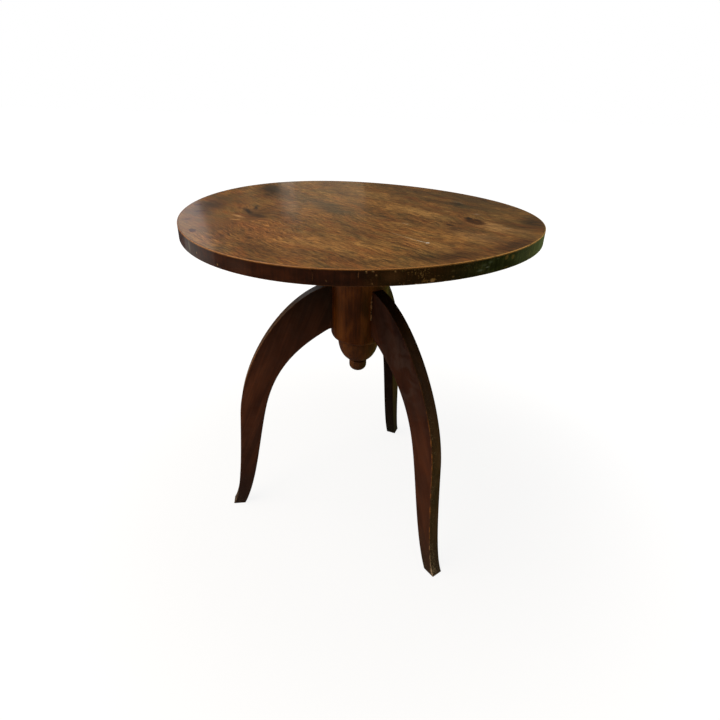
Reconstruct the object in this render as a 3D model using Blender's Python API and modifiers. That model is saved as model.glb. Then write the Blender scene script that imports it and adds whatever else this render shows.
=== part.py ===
"""Round side table on a turned column with three S-curved legs.

Metres, +Z up. The origin is on the floor, on the column's axis.
Each piece is one named object; cutters are kept in their own collection.
"""

import math

import bmesh
import bpy
from mathutils import Matrix, Vector

# Clearances and working angles
FIT_GAP = 0.0003
CUT_OVERRUN = 0.002
MERGE_DISTANCE = 0.00003
SMOOTH_ANGLE = math.radians(32.0)
ARRIS_ANGLE = math.radians(40.0)
COPLANAR_ANGLE = math.radians(0.05)
QUARTER_TURN = math.pi / 2
FULL_TURN = math.tau

# Round top and the thin band round its edge
TABLE_HEIGHT = 0.645
TOP_RADIUS = 0.300
TOP_THICKNESS = 0.022
TOP_SEGMENTS = 128
BAND_THICKNESS = 0.002
BAND_ARRIS = 0.0006
BAND_ARRIS_STEPS = 2
BAND_JOINT_AZIMUTH = math.radians(259.0)

# Square block under the top
BLOCK_SIDE = 0.170
BLOCK_THICKNESS = 0.026
BLOCK_CHAMFER = 0.005

# Wood screws, driven up through the block, heads down
SCREW_LENGTH = 0.038
SCREW_SHANK_RADIUS = 0.0022
SCREW_HEAD_RADIUS = 0.0044
SCREW_HEAD_HEIGHT = 0.0026
SCREW_POINT_LENGTH = 0.006
SCREW_EDGE_DISTANCE = 0.022
SCREW_HEAD_SINK = 0.0004
SCREW_SLOT_WIDTH = 0.0011
SCREW_SLOT_DEPTH = 0.0012
SCREW_SLOT_TURN = math.radians(50.0)
SCREW_SEGMENTS = 16

# Turned column: spigot, barrel, rounded shoulder, cup
BARREL_RADIUS = 0.053
BARREL_TOP_CHAMFER = 0.002
BARREL_TAIL = 0.0265
SHOULDER_RADIUS = 0.0135
SHOULDER_STEPS = 6
CUP_RADIUS = 0.037
CUP_HEIGHT = 0.048
CUP_FOOT_RADIUS = 0.011
CUP_STEPS = 10
TOP_SPIGOT_RADIUS = 0.018
COLUMN_SEGMENTS = 64

# Turned drop finial under the cup
FINIAL_RADIUS = 0.016
FINIAL_HEIGHT = 0.0247
FINIAL_NECK_RADIUS = 0.012
FINIAL_NECK_HEIGHT = 0.0018
FINIAL_SHOULDER_RADIUS = 0.0015
FINIAL_SHOULDER_STEPS = 3
FINIAL_DOME_HEIGHT = 0.012
FINIAL_DOME_FLAT_RADIUS = 0.0045
FINIAL_DOME_STEPS = 7
FINIAL_SPIGOT_RADIUS = 0.007
FINIAL_SPIGOT_LENGTH = 0.022
FINIAL_SEGMENTS = 40

# Legs: sawn boards; radii are distances from the column's axis
LEG_NAMES = ("leg_left", "leg_front", "leg_rear")
LEG_FIRST_AZIMUTH = math.radians(187.3)
LEG_THICKNESS = 0.023
LEG_ARRIS = 0.0009
LEG_ARRIS_SEGMENTS = 2
LEG_CURVE_STEPS = 14
LEG_JOINT_DROP = 0.077
LEG_JOINT_HEIGHT = 0.084
TOE_RADIUS = 0.2753
TOE_LENGTH = 0.0256

# Outer edge of a leg: radii and top reach are shares of the toe's radius,
# heights and the other reaches are shares of the leg's height
OUTER_TOP_SLOPE = math.radians(10.3)
OUTER_TOP_REACH_SHARE = 0.321
OUTER_KNEE_RADIUS_SHARE = 0.868
OUTER_KNEE_HEIGHT_SHARE = 0.467
OUTER_KNEE_LEAN = math.radians(4.5)
OUTER_KNEE_REACH_UP_SHARE = 0.243
OUTER_KNEE_REACH_DOWN_SHARE = 0.216
OUTER_TOE_LEAN = math.radians(33.6)
OUTER_TOE_REACH_SHARE = 0.066

# Inner edge of a leg, in the same shares
INNER_TOP_SLOPE = math.radians(30.1)
INNER_TOP_REACH_SHARE = 0.353
INNER_KNEE_RADIUS_SHARE = 0.681
INNER_KNEE_HEIGHT_SHARE = 0.487
INNER_KNEE_LEAN = math.radians(13.0)
INNER_KNEE_REACH_UP_SHARE = 0.158
INNER_KNEE_REACH_DOWN_SHARE = 0.159
INNER_TOE_LEAN = math.radians(26.6)
INNER_TOE_REACH_SHARE = 0.135

# Dowels across the leg joints
DOWEL_RADIUS = 0.004
DOWEL_LENGTH = 0.050
DOWEL_CHAMFER = 0.0006
DOWEL_HEIGHT_SHARES = {"lower": 0.29, "upper": 0.74}
DOWEL_SEGMENTS = 16

# Heights, radii and angles that follow from the sizes above
TOP_UNDERSIDE_Z = TABLE_HEIGHT - TOP_THICKNESS
BOARD_RADIUS = TOP_RADIUS - BAND_THICKNESS - FIT_GAP
BLOCK_TOP_Z = TOP_UNDERSIDE_Z - FIT_GAP
BLOCK_BOTTOM_Z = BLOCK_TOP_Z - BLOCK_THICKNESS
BARREL_TOP_Z = BLOCK_BOTTOM_Z - FIT_GAP
LEG_JOINT_TOP_Z = BARREL_TOP_Z - LEG_JOINT_DROP
LEG_JOINT_BOTTOM_Z = LEG_JOINT_TOP_Z - LEG_JOINT_HEIGHT
BARREL_BOTTOM_Z = LEG_JOINT_BOTTOM_Z - BARREL_TAIL
CUP_BOTTOM_Z = BARREL_BOTTOM_Z - CUP_HEIGHT
FINIAL_TOP_Z = CUP_BOTTOM_Z - FIT_GAP
LEG_AZIMUTHS = [LEG_FIRST_AZIMUTH + FULL_TURN * n / len(LEG_NAMES) for n in range(len(LEG_NAMES))]
BLOCK_TURN = LEG_FIRST_AZIMUTH


def clear_scene():
    """Remove every object so that the script starts from nothing."""
    for thing in list(bpy.data.objects):
        bpy.data.objects.remove(thing, do_unlink=True)


def make_collections():
    """Return the collection of pieces and the hidden collection of cutters."""
    pieces = bpy.data.collections.new("tripod_table")
    cutters = bpy.data.collections.new("cutters")
    cutters.hide_render = True
    for group in (pieces, cutters):
        bpy.context.scene.collection.children.link(group)
    return pieces, cutters


def linear(channel):
    """Turn one sRGB channel, 0 to 1, into its linear value."""
    if channel <= 0.04045:
        return channel / 12.92
    return ((channel + 0.055) / 1.055) ** 2.4


def material(name, hex_colour, roughness, metallic=0.0):
    """Principled material from an sRGB hex colour."""
    made = bpy.data.materials.new(name)
    made.use_nodes = True
    shader = made.node_tree.nodes["Principled BSDF"]
    channels = [linear(int(hex_colour[i:i + 2], 16) / 255) for i in (0, 2, 4)]
    shader.inputs["Base Color"].default_value = (*channels, 1.0)
    shader.inputs["Roughness"].default_value = roughness
    shader.inputs["Metallic"].default_value = metallic
    made.diffuse_color = (*channels, 1.0)
    return made


def top_wood():
    return material("stained_top_wood", "6b4527", 0.38)


def band_wood():
    return material("dark_edge_band_wood", "2a1810", 0.42)


def block_wood():
    return material("raw_block_wood", "8a6a48", 0.7)


def column_wood():
    return material("turned_column_wood", "4a2a12", 0.36)


def finial_wood():
    return material("turned_finial_wood", "45220f", 0.36)


def leg_wood():
    return material("dark_leg_wood", "2e1a14", 0.42)


def dowel_wood():
    return material("pale_dowel_wood", "c39a6b", 0.75)


def screw_steel():
    return material("plain_screw_steel", "8d8a84", 0.4, 1.0)


def object_from(bm, name, collection):
    """Turn a bmesh into a named object of a collection."""
    mesh = bpy.data.meshes.new(name)
    bm.to_mesh(mesh)
    bm.free()
    made = bpy.data.objects.new(name, mesh)
    collection.objects.link(made)
    return made


def cutter_from(bm, name, collection):
    """Turn a bmesh into a cutter that shows as a wire and isn't rendered."""
    made = object_from(bm, name, collection)
    made.display_type = "WIRE"
    made.hide_render = True
    return made


def baked_mesh(thing):
    """Mesh of an object or curve with its modifiers applied."""
    bpy.context.view_layer.update()
    depsgraph = bpy.context.evaluated_depsgraph_get()
    return bpy.data.meshes.new_from_object(thing.evaluated_get(depsgraph), depsgraph=depsgraph)


def apply_modifiers(piece):
    """Replace a piece's mesh with its modified one."""
    baked = baked_mesh(piece)
    piece.modifiers.clear()
    piece.data = baked


def finish(piece, skin):
    """Give a piece its material and smooth all but its sharp edges."""
    piece.data.materials.clear()
    piece.data.materials.append(skin)
    for face in piece.data.polygons:
        face.use_smooth = True
    piece.data.set_sharp_from_angle(angle=SMOOTH_ANGLE)


def cut(piece, cutter):
    """Take the cutter's volume out of the piece."""
    step = piece.modifiers.new("cut_" + cutter.name, "BOOLEAN")
    step.operation = "DIFFERENCE"
    step.solver = "EXACT"
    step.object = cutter


def rod(bm, radius, low, high, segments, placing=Matrix.Identity(4)):
    """Add a plain cylinder from height low to height high, then place it."""
    centre = Matrix.Translation((0, 0, (low + high) / 2))
    bmesh.ops.create_cone(
        bm, cap_ends=True, segments=segments, radius1=radius, radius2=radius,
        depth=high - low, matrix=placing @ centre)


def arc(centre, radii, start, end, steps):
    """Points of an elliptical arc in the profile plane, ends included."""
    points = []
    for n in range(steps + 1):
        angle = start + (end - start) * n / steps
        across = centre[0] + radii[0] * math.cos(angle)
        points.append((across, centre[1] + radii[1] * math.sin(angle)))
    return points


def turned(name, profile, segments, collection, closed=False):
    """Turn a profile of (radius, height) points about the Z axis."""
    bm = bmesh.new()
    corners = [bm.verts.new((radius, 0, height)) for radius, height in profile]
    for first, second in zip(corners, corners[1:]):
        bm.edges.new((first, second))
    if closed:
        bm.edges.new((corners[-1], corners[0]))
    made = object_from(bm, name, collection)
    screw = made.modifiers.new("turning", "SCREW")
    screw.axis = "Z"
    screw.steps = segments
    screw.render_steps = segments
    screw.use_merge_vertices = True
    screw.merge_threshold = MERGE_DISTANCE
    apply_modifiers(made)
    bm = bmesh.new()
    bm.from_mesh(made.data)
    bmesh.ops.recalc_face_normals(bm, faces=bm.faces)
    bm.to_mesh(made.data)
    bm.free()
    return made


def outward(azimuth, height):
    """Placing that turns local +Z away from the axis at an azimuth and height."""
    turn = Matrix.Rotation(azimuth, 4, "Z") @ Matrix.Rotation(QUARTER_TURN, 4, "Y")
    return Matrix.Translation((0, 0, height)) @ turn


def dowel_places():
    """Leg name, level, azimuth and height of every dowel."""
    for leg_name, azimuth in zip(LEG_NAMES, LEG_AZIMUTHS):
        for level, share in DOWEL_HEIGHT_SHARES.items():
            yield leg_name, level, azimuth, LEG_JOINT_BOTTOM_Z + LEG_JOINT_HEIGHT * share


def screw_places():
    """Positions of the screws on the block's underside."""
    reach = BLOCK_SIDE / 2 - SCREW_EDGE_DISTANCE
    turn = Matrix.Rotation(BLOCK_TURN, 4, "Z")
    corners = ((1, 1), (-1, 1), (-1, -1), (1, -1))
    return [turn @ Vector((reach * x, reach * y, BLOCK_BOTTOM_Z)) for x, y in corners]


def screw_profile(clearance=0):
    """Screw outline from its tip down to the face of its head."""
    tip = SCREW_HEAD_SINK + SCREW_LENGTH + clearance
    shank = SCREW_SHANK_RADIUS + clearance
    head = SCREW_HEAD_RADIUS + clearance
    points = [(0, tip), (shank, tip - SCREW_POINT_LENGTH)]
    points += [(shank, SCREW_HEAD_SINK + SCREW_HEAD_HEIGHT), (head, SCREW_HEAD_SINK)]
    if clearance:
        points.append((head, SCREW_HEAD_SINK - CUT_OVERRUN))
    points.append((0, points[-1][1]))
    return points


def make_screw_bores(cutters):
    """One cutter holding the clearance shape of every screw."""
    shape = turned("screw_bore", screw_profile(FIT_GAP), SCREW_SEGMENTS, cutters)
    bm = bmesh.new()
    for place in screw_places():
        start = len(bm.verts)
        bm.from_mesh(shape.data)
        bm.verts.ensure_lookup_table()
        bmesh.ops.translate(bm, verts=bm.verts[start:], vec=place)
    bpy.data.objects.remove(shape, do_unlink=True)
    return cutter_from(bm, "screw_bores", cutters)


def make_dowel_bores(cutters):
    """One cutter holding the clearance bore of every dowel."""
    bm = bmesh.new()
    inner = BARREL_RADIUS - DOWEL_LENGTH / 2 - FIT_GAP
    outer = BARREL_RADIUS + DOWEL_LENGTH / 2 + FIT_GAP
    for _, _, azimuth, height in dowel_places():
        rod(bm, DOWEL_RADIUS + FIT_GAP, inner, outer, DOWEL_SEGMENTS, outward(azimuth, height))
    return cutter_from(bm, "dowel_bores", cutters)


def make_barrel_cope(cutters):
    """Cutter that scribes the legs' inner ends to the barrel."""
    bm = bmesh.new()
    radius = (BARREL_RADIUS + FIT_GAP) / math.cos(math.pi / COLUMN_SEGMENTS)
    low = LEG_JOINT_BOTTOM_Z - LEG_JOINT_HEIGHT
    high = LEG_JOINT_TOP_Z + LEG_JOINT_HEIGHT
    rod(bm, radius, low, high, COLUMN_SEGMENTS)
    return cutter_from(bm, "barrel_cope", cutters)


def make_tabletop(pieces, screw_bores):
    """Round board with the screws' pilot bores in its underside."""
    bm = bmesh.new()
    rod(bm, BOARD_RADIUS, TOP_UNDERSIDE_Z, TABLE_HEIGHT, TOP_SEGMENTS)
    board = object_from(bm, "tabletop", pieces)
    cut(board, screw_bores)
    apply_modifiers(board)
    finish(board, top_wood())


def make_edge_band(pieces, cutters):
    """Thin strip bent round the board, its ends butting at one joint."""
    inner = TOP_RADIUS - BAND_THICKNESS
    middle = TOP_RADIUS - BAND_ARRIS
    radii = (BAND_ARRIS, BAND_ARRIS)
    profile = arc((middle, TABLE_HEIGHT - BAND_ARRIS), radii, QUARTER_TURN, 0, BAND_ARRIS_STEPS)
    profile += arc((middle, TOP_UNDERSIDE_Z + BAND_ARRIS), radii, 0, -QUARTER_TURN, BAND_ARRIS_STEPS)
    profile += [(inner, TOP_UNDERSIDE_Z), (inner, TABLE_HEIGHT)]
    band = turned("edge_band", profile, TOP_SEGMENTS, pieces, closed=True)
    turn = Matrix.Rotation(BAND_JOINT_AZIMUTH, 4, "Z")
    centre = Matrix.Translation((middle, 0, TABLE_HEIGHT - TOP_THICKNESS / 2))
    reach = BAND_THICKNESS + CUT_OVERRUN
    height = TOP_THICKNESS + CUT_OVERRUN
    bm = bmesh.new()
    bmesh.ops.create_cube(bm, size=1, matrix=turn @ centre @ Matrix.Diagonal((2 * reach, FIT_GAP, height, 1)))
    cut(band, cutter_from(bm, "band_joint", cutters))
    apply_modifiers(band)
    finish(band, band_wood())


def make_mounting_block(pieces, cutters, screw_bores):
    """Square block with the bore for the column's spigot and four screw holes."""
    middle = BLOCK_BOTTOM_Z + BLOCK_THICKNESS / 2
    placing = Matrix.Translation((0, 0, middle)) @ Matrix.Rotation(BLOCK_TURN, 4, "Z")
    size = Matrix.Diagonal((BLOCK_SIDE, BLOCK_SIDE, BLOCK_THICKNESS, 1))
    bm = bmesh.new()
    bmesh.ops.create_cube(bm, size=1, matrix=placing @ size)
    lower = [edge for edge in bm.edges if all(vert.co.z < middle for vert in edge.verts)]
    bmesh.ops.bevel(bm, geom=lower, offset=BLOCK_CHAMFER, segments=1, affect="EDGES", profile=0.5)
    block = object_from(bm, "mounting_block", pieces)
    bm = bmesh.new()
    rod(bm, TOP_SPIGOT_RADIUS + FIT_GAP, BLOCK_BOTTOM_Z - CUT_OVERRUN, BLOCK_TOP_Z + CUT_OVERRUN,
        COLUMN_SEGMENTS)
    cut(block, cutter_from(bm, "spigot_bore", cutters))
    cut(block, screw_bores)
    apply_modifiers(block)
    finish(block, block_wood())


def make_screws(pieces, cutters):
    """Slotted countersunk screws, their heads just inside the block's face."""
    depth = SCREW_SLOT_DEPTH + CUT_OVERRUN
    centre = Matrix.Translation((0, 0, SCREW_HEAD_SINK + SCREW_SLOT_DEPTH - depth / 2))
    length = 2 * (SCREW_HEAD_RADIUS + CUT_OVERRUN)
    bm = bmesh.new()
    bmesh.ops.create_cube(bm, size=1, matrix=centre @ Matrix.Diagonal((SCREW_SLOT_WIDTH, length, depth, 1)))
    slot = cutter_from(bm, "screw_slot", cutters)
    steel = screw_steel()
    for number, place in enumerate(screw_places(), start=1):
        screw = turned("screw_" + str(number), screw_profile(), SCREW_SEGMENTS, pieces)
        cut(screw, slot)
        apply_modifiers(screw)
        finish(screw, steel)
        screw.location = place
        screw.rotation_euler.z = SCREW_SLOT_TURN * number


def column_profile():
    """Outline of the spigot, barrel, rounded shoulder and cup."""
    points = [(0, BLOCK_TOP_Z), (TOP_SPIGOT_RADIUS, BLOCK_TOP_Z), (TOP_SPIGOT_RADIUS, BARREL_TOP_Z)]
    points.append((BARREL_RADIUS - BARREL_TOP_CHAMFER, BARREL_TOP_Z))
    points.append((BARREL_RADIUS, BARREL_TOP_Z - BARREL_TOP_CHAMFER))
    points += arc((BARREL_RADIUS - SHOULDER_RADIUS, BARREL_BOTTOM_Z + SHOULDER_RADIUS),
                  (SHOULDER_RADIUS, SHOULDER_RADIUS), 0, -QUARTER_TURN, SHOULDER_STEPS)
    points += arc((CUP_FOOT_RADIUS, BARREL_BOTTOM_Z), (CUP_RADIUS - CUP_FOOT_RADIUS, CUP_HEIGHT),
                  0, -QUARTER_TURN, CUP_STEPS)
    points.append((0, CUP_BOTTOM_Z))
    return points


def make_column(pieces, cutters, dowel_bores):
    """Turned column with the dowel bores and the finial's bore."""
    column = turned("column", column_profile(), COLUMN_SEGMENTS, pieces)
    bm = bmesh.new()
    rod(bm, FINIAL_SPIGOT_RADIUS + FIT_GAP, CUP_BOTTOM_Z - CUT_OVERRUN,
        FINIAL_TOP_Z + FINIAL_SPIGOT_LENGTH + FIT_GAP, FINIAL_SEGMENTS)
    cut(column, dowel_bores)
    cut(column, cutter_from(bm, "finial_bore", cutters))
    apply_modifiers(column)
    finish(column, column_wood())


def make_drop_finial(pieces):
    """Turned button with a thin neck and a spigot up into the cup."""
    spigot_top = FINIAL_TOP_Z + FINIAL_SPIGOT_LENGTH
    neck_bottom = FINIAL_TOP_Z - FINIAL_NECK_HEIGHT
    base = FINIAL_TOP_Z - FINIAL_HEIGHT
    points = [(0, spigot_top), (FINIAL_SPIGOT_RADIUS, spigot_top), (FINIAL_SPIGOT_RADIUS, FINIAL_TOP_Z)]
    points += [(FINIAL_NECK_RADIUS, FINIAL_TOP_Z), (FINIAL_NECK_RADIUS, neck_bottom)]
    points += arc((FINIAL_RADIUS - FINIAL_SHOULDER_RADIUS, neck_bottom - FINIAL_SHOULDER_RADIUS),
                  (FINIAL_SHOULDER_RADIUS, FINIAL_SHOULDER_RADIUS), QUARTER_TURN, 0, FINIAL_SHOULDER_STEPS)
    points += arc((FINIAL_DOME_FLAT_RADIUS, base + FINIAL_DOME_HEIGHT),
                  (FINIAL_RADIUS - FINIAL_DOME_FLAT_RADIUS, FINIAL_DOME_HEIGHT),
                  0, -QUARTER_TURN, FINIAL_DOME_STEPS)
    points.append((0, base))
    finial = turned("drop_finial", points, FINIAL_SEGMENTS, pieces)
    finish(finial, finial_wood())


def set_knot(knot, place, toward_last=None, toward_next=None):
    """Place a curve knot; a side with no handle offset stays straight."""
    spot = Vector((*place, 0))
    knot.co = spot
    knot.handle_left_type = "FREE" if toward_last else "VECTOR"
    knot.handle_right_type = "FREE" if toward_next else "VECTOR"
    if toward_last:
        knot.handle_left = spot + Vector((*toward_last, 0))
    if toward_next:
        knot.handle_right = spot + Vector((*toward_next, 0))


def away(reach_share, slope):
    """Offset from the joint outwards, sloping down."""
    reach = TOE_RADIUS * reach_share
    return reach * math.cos(slope), -reach * math.sin(slope)


def down(reach_share, lean):
    """Offset down the leg, leaning outwards."""
    reach = LEG_JOINT_TOP_Z * reach_share
    return reach * math.sin(lean), -reach * math.cos(lean)


def up(reach_share, lean):
    """Offset up the leg, against down."""
    across, drop = down(reach_share, lean)
    return -across, -drop


def leg_outline(name, collection):
    """Flat S-curved outline of a leg as a filled curve in its own plane."""
    start = math.sqrt(BARREL_RADIUS ** 2 - (LEG_THICKNESS / 2) ** 2) - CUT_OVERRUN
    curve = bpy.data.curves.new(name, "CURVE")
    curve.dimensions = "2D"
    curve.fill_mode = "BOTH"
    curve.extrude = LEG_THICKNESS / 2
    curve.resolution_u = LEG_CURVE_STEPS
    spline = curve.splines.new("BEZIER")
    spline.bezier_points.add(5)
    spline.use_cyclic_u = True
    outer_top, outer_knee, outer_toe, inner_toe, inner_knee, inner_top = spline.bezier_points
    outer_knee_place = (TOE_RADIUS * OUTER_KNEE_RADIUS_SHARE, LEG_JOINT_TOP_Z * OUTER_KNEE_HEIGHT_SHARE)
    inner_knee_place = (TOE_RADIUS * INNER_KNEE_RADIUS_SHARE, LEG_JOINT_TOP_Z * INNER_KNEE_HEIGHT_SHARE)
    set_knot(outer_top, (start, LEG_JOINT_TOP_Z), toward_next=away(OUTER_TOP_REACH_SHARE, OUTER_TOP_SLOPE))
    set_knot(outer_knee, outer_knee_place,
             toward_last=up(OUTER_KNEE_REACH_UP_SHARE, OUTER_KNEE_LEAN),
             toward_next=down(OUTER_KNEE_REACH_DOWN_SHARE, OUTER_KNEE_LEAN))
    set_knot(outer_toe, (TOE_RADIUS, 0), toward_last=up(OUTER_TOE_REACH_SHARE, OUTER_TOE_LEAN))
    set_knot(inner_toe, (TOE_RADIUS - TOE_LENGTH, 0), toward_next=up(INNER_TOE_REACH_SHARE, INNER_TOE_LEAN))
    set_knot(inner_knee, inner_knee_place,
             toward_last=down(INNER_KNEE_REACH_DOWN_SHARE, INNER_KNEE_LEAN),
             toward_next=up(INNER_KNEE_REACH_UP_SHARE, INNER_KNEE_LEAN))
    set_knot(inner_top, (start, LEG_JOINT_BOTTOM_Z), toward_last=away(INNER_TOP_REACH_SHARE, INNER_TOP_SLOPE))
    made = bpy.data.objects.new(name, curve)
    collection.objects.link(made)
    return made


def leg_board(name, collection):
    """Leg board cut from its outline, standing in the XZ plane."""
    outline = leg_outline(name + "_outline", collection)
    mesh = baked_mesh(outline)
    bpy.data.objects.remove(outline, do_unlink=True)
    bm = bmesh.new()
    bm.from_mesh(mesh)
    bmesh.ops.remove_doubles(bm, verts=bm.verts, dist=MERGE_DISTANCE)
    bmesh.ops.dissolve_limit(bm, angle_limit=COPLANAR_ANGLE, verts=bm.verts, edges=bm.edges)
    bmesh.ops.rotate(bm, verts=bm.verts, cent=(0, 0, 0), matrix=Matrix.Rotation(QUARTER_TURN, 3, "X"))
    bmesh.ops.recalc_face_normals(bm, faces=bm.faces)
    return object_from(bm, name, collection)


def make_legs(pieces, dowel_bores, barrel_cope):
    """Three alike legs, scribed to the barrel and bored for their dowels."""
    skin = leg_wood()
    for name, azimuth in zip(LEG_NAMES, LEG_AZIMUTHS):
        leg = leg_board(name, pieces)
        leg.rotation_euler.z = azimuth
        ease = leg.modifiers.new("eased_arrises", "BEVEL")
        ease.width = LEG_ARRIS
        ease.segments = LEG_ARRIS_SEGMENTS
        ease.limit_method = "ANGLE"
        ease.angle_limit = ARRIS_ANGLE
        cut(leg, barrel_cope)
        cut(leg, dowel_bores)
        apply_modifiers(leg)
        finish(leg, skin)


def make_dowels(pieces):
    """Two chamfered dowels across each leg joint."""
    skin = dowel_wood()
    inner = BARREL_RADIUS - DOWEL_LENGTH / 2
    outer = BARREL_RADIUS + DOWEL_LENGTH / 2
    for leg_name, level, azimuth, height in dowel_places():
        bm = bmesh.new()
        rod(bm, DOWEL_RADIUS, inner, outer, DOWEL_SEGMENTS)
        rims = [edge for edge in bm.edges if edge.verts[0].co.z == edge.verts[1].co.z]
        bmesh.ops.bevel(bm, geom=rims, offset=DOWEL_CHAMFER, segments=1, affect="EDGES", profile=0.5)
        dowel = object_from(bm, leg_name.replace("leg", "dowel") + "_" + level, pieces)
        dowel.matrix_world = outward(azimuth, height)
        finish(dowel, skin)


def build():
    """Make every piece of the table."""
    clear_scene()
    pieces, cutters = make_collections()
    screw_bores = make_screw_bores(cutters)
    dowel_bores = make_dowel_bores(cutters)
    barrel_cope = make_barrel_cope(cutters)
    make_tabletop(pieces, screw_bores)
    make_edge_band(pieces, cutters)
    make_mounting_block(pieces, cutters, screw_bores)
    make_screws(pieces, cutters)
    make_column(pieces, cutters, dowel_bores)
    make_drop_finial(pieces)
    make_legs(pieces, dowel_bores, barrel_cope)
    make_dowels(pieces)
    bpy.context.view_layer.update()


build()
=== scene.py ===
import math

import bmesh
import bpy
from mathutils import Matrix, Vector, noise
from mathutils.geometry import interpolate_bezier


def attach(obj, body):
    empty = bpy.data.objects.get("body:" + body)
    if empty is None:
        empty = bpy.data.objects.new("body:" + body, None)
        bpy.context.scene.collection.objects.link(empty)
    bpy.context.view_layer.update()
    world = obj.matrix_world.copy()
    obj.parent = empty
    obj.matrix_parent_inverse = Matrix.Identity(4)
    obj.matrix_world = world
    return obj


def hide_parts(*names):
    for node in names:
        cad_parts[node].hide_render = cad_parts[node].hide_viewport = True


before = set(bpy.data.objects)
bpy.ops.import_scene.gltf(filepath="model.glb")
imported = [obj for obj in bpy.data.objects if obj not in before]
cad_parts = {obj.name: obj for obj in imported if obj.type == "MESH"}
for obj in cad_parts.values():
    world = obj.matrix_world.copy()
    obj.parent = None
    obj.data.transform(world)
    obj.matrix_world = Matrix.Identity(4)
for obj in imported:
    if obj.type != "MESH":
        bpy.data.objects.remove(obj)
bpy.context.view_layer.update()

# Camera: a wide phone lens held a little above the table and tipped down at it.
# Its place and angles were fitted to the outlines of the top, the column and the feet.
CAMERA_PLACE = (0, -0.85593, 0.83345)
CAMERA_TURN, CAMERA_DIP, CAMERA_ROLL = 0.0051, 0.5098, 0.0293
LENS_MM, SENSOR_MM = 24.54, 36

lens = bpy.data.cameras.new("camera")
lens.lens, lens.sensor_width = LENS_MM, SENSOR_MM
camera = bpy.data.objects.new("camera", lens)
camera.matrix_world = (Matrix.Translation(CAMERA_PLACE) @ Matrix.Rotation(-CAMERA_TURN, 4, "Z")
                       @ Matrix.Rotation(math.pi / 2 - CAMERA_DIP, 4, "X")
                       @ Matrix.Rotation(CAMERA_ROLL, 4, "Z"))
scene = bpy.context.scene
scene.collection.objects.link(camera)
scene.camera = camera
scene.view_settings.view_transform = "Standard"


# Studio: a plain pale floor that the camera sees near white with a faint shadow, a soft
# overhead panel, dim low fills, and pale panels at the left that show as sheen in the varnish.
FLOOR_SIDE = 30
FLOOR_COLOUR = "a6a39e"
FLOOR_GLOW_NEAR, FLOOR_GLOW_FAR = 0.88, 1
FLOOR_GLOW_START, FLOOR_GLOW_END = 0.3, 1.1
FLOOR_PAINT = 0.36
ROOM_IN_GLOSS = 0.03
GLOSS_REACH = 0.35
DOME_AXIS = (-0.35, 0, 0.94)


def linear(hex_colour):
    """Turn an sRGB hex colour into the linear colour that a shader takes."""
    shares = [int(hex_colour[place:place + 2], 16) / 255 for place in (0, 2, 4)]
    return [share / 12.92 if share <= 0.04045 else ((share + 0.055) / 1.055) ** 2.4
            for share in shares] + [1]


def add(tree, kind, inputs, stops=(), **settings):
    """Add one node with its settings, then link or set each named or numbered input."""
    made = tree.nodes.new("ShaderNode" + kind)
    for name, value in settings.items():
        setattr(made, name, value)
    sockets = [socket for socket in made.inputs if socket.enabled]
    for key, value in inputs.items():
        socket = sockets[key] if isinstance(key, int) else next(s for s in sockets if s.name == key)
        if isinstance(value, bpy.types.Node):
            value = next(s for s in value.outputs if s.enabled)
        if isinstance(value, bpy.types.NodeSocket):
            tree.links.new(value, socket)
        else:
            socket.default_value = value
    for index, (place, colour) in enumerate(stops):
        ramp = made.color_ramp.elements
        stop = ramp[index] if index < 2 else ramp.new(place)
        stop.position, stop.color = place, linear(colour)
    return made


def new_skin(name):
    """Start a material with an empty node tree."""
    skin = bpy.data.materials.new(name)
    skin.use_nodes = True
    skin.node_tree.nodes.clear()
    return skin, skin.node_tree


def painted_floor():
    """Matt pale studio paint; the camera sees it lifted to white, and the varnish mirrors
    it as dim as a room's floor, greyish at the left and mossy at the right."""
    skin, tree = new_skin("matt_floor_paint")
    paths = add(tree, "LightPath", {}).outputs
    paint = add(tree, "BsdfDiffuse", {"Color": linear(FLOOR_COLOUR)})
    spot = add(tree, "TexCoord", {}).outputs["Object"]
    away = add(tree, "VectorMath", {0: spot}, operation="LENGTH")
    light = 1 - FLOOR_PAINT
    glow = add(tree, "MapRange", {0: away, "From Min": FLOOR_GLOW_START, "From Max": FLOOR_GLOW_END,
                                  "To Min": FLOOR_GLOW_NEAR / light, "To Max": FLOOR_GLOW_FAR / light},
               interpolation_type="SMOOTHSTEP")
    white = add(tree, "Emission", {"Color": (1, 1, 1, 1), "Strength": glow})
    lifted = add(tree, "MixShader", {0: light, 1: paint, 2: white})
    across = add(tree, "SeparateXYZ", {0: spot}).outputs["X"]
    across = add(tree, "MapRange", {0: across, "From Min": -GLOSS_REACH, "From Max": GLOSS_REACH})
    dim = add(tree, "ValToRGB", {0: across}, stops=((0, "443c3e"), (1, "50561f"), (0.5, "303030")))
    dim = add(tree, "Emission", {"Color": dim, "Strength": 1})
    for_gloss = add(tree, "MixShader", {0: paths["Is Glossy Ray"], 1: paint, 2: dim})
    seen = add(tree, "MixShader", {0: paths["Is Camera Ray"], 1: for_gloss, 2: lifted})
    add(tree, "OutputMaterial", {"Surface": seen})
    return skin


def object_from(shape, name, *skins, sharp=35):
    """Make a linked object of a bmesh, smooth but for edges sharper than an angle in degrees."""
    mesh = bpy.data.meshes.new(name)
    shape.to_mesh(mesh)
    shape.free()
    for skin in skins:
        mesh.materials.append(skin)
    mesh.polygons.foreach_set("use_smooth", [True] * len(mesh.polygons))
    mesh.set_sharp_from_angle(angle=math.radians(sharp))
    made = bpy.data.objects.new(name, mesh)
    scene.collection.objects.link(made)
    return made


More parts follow.
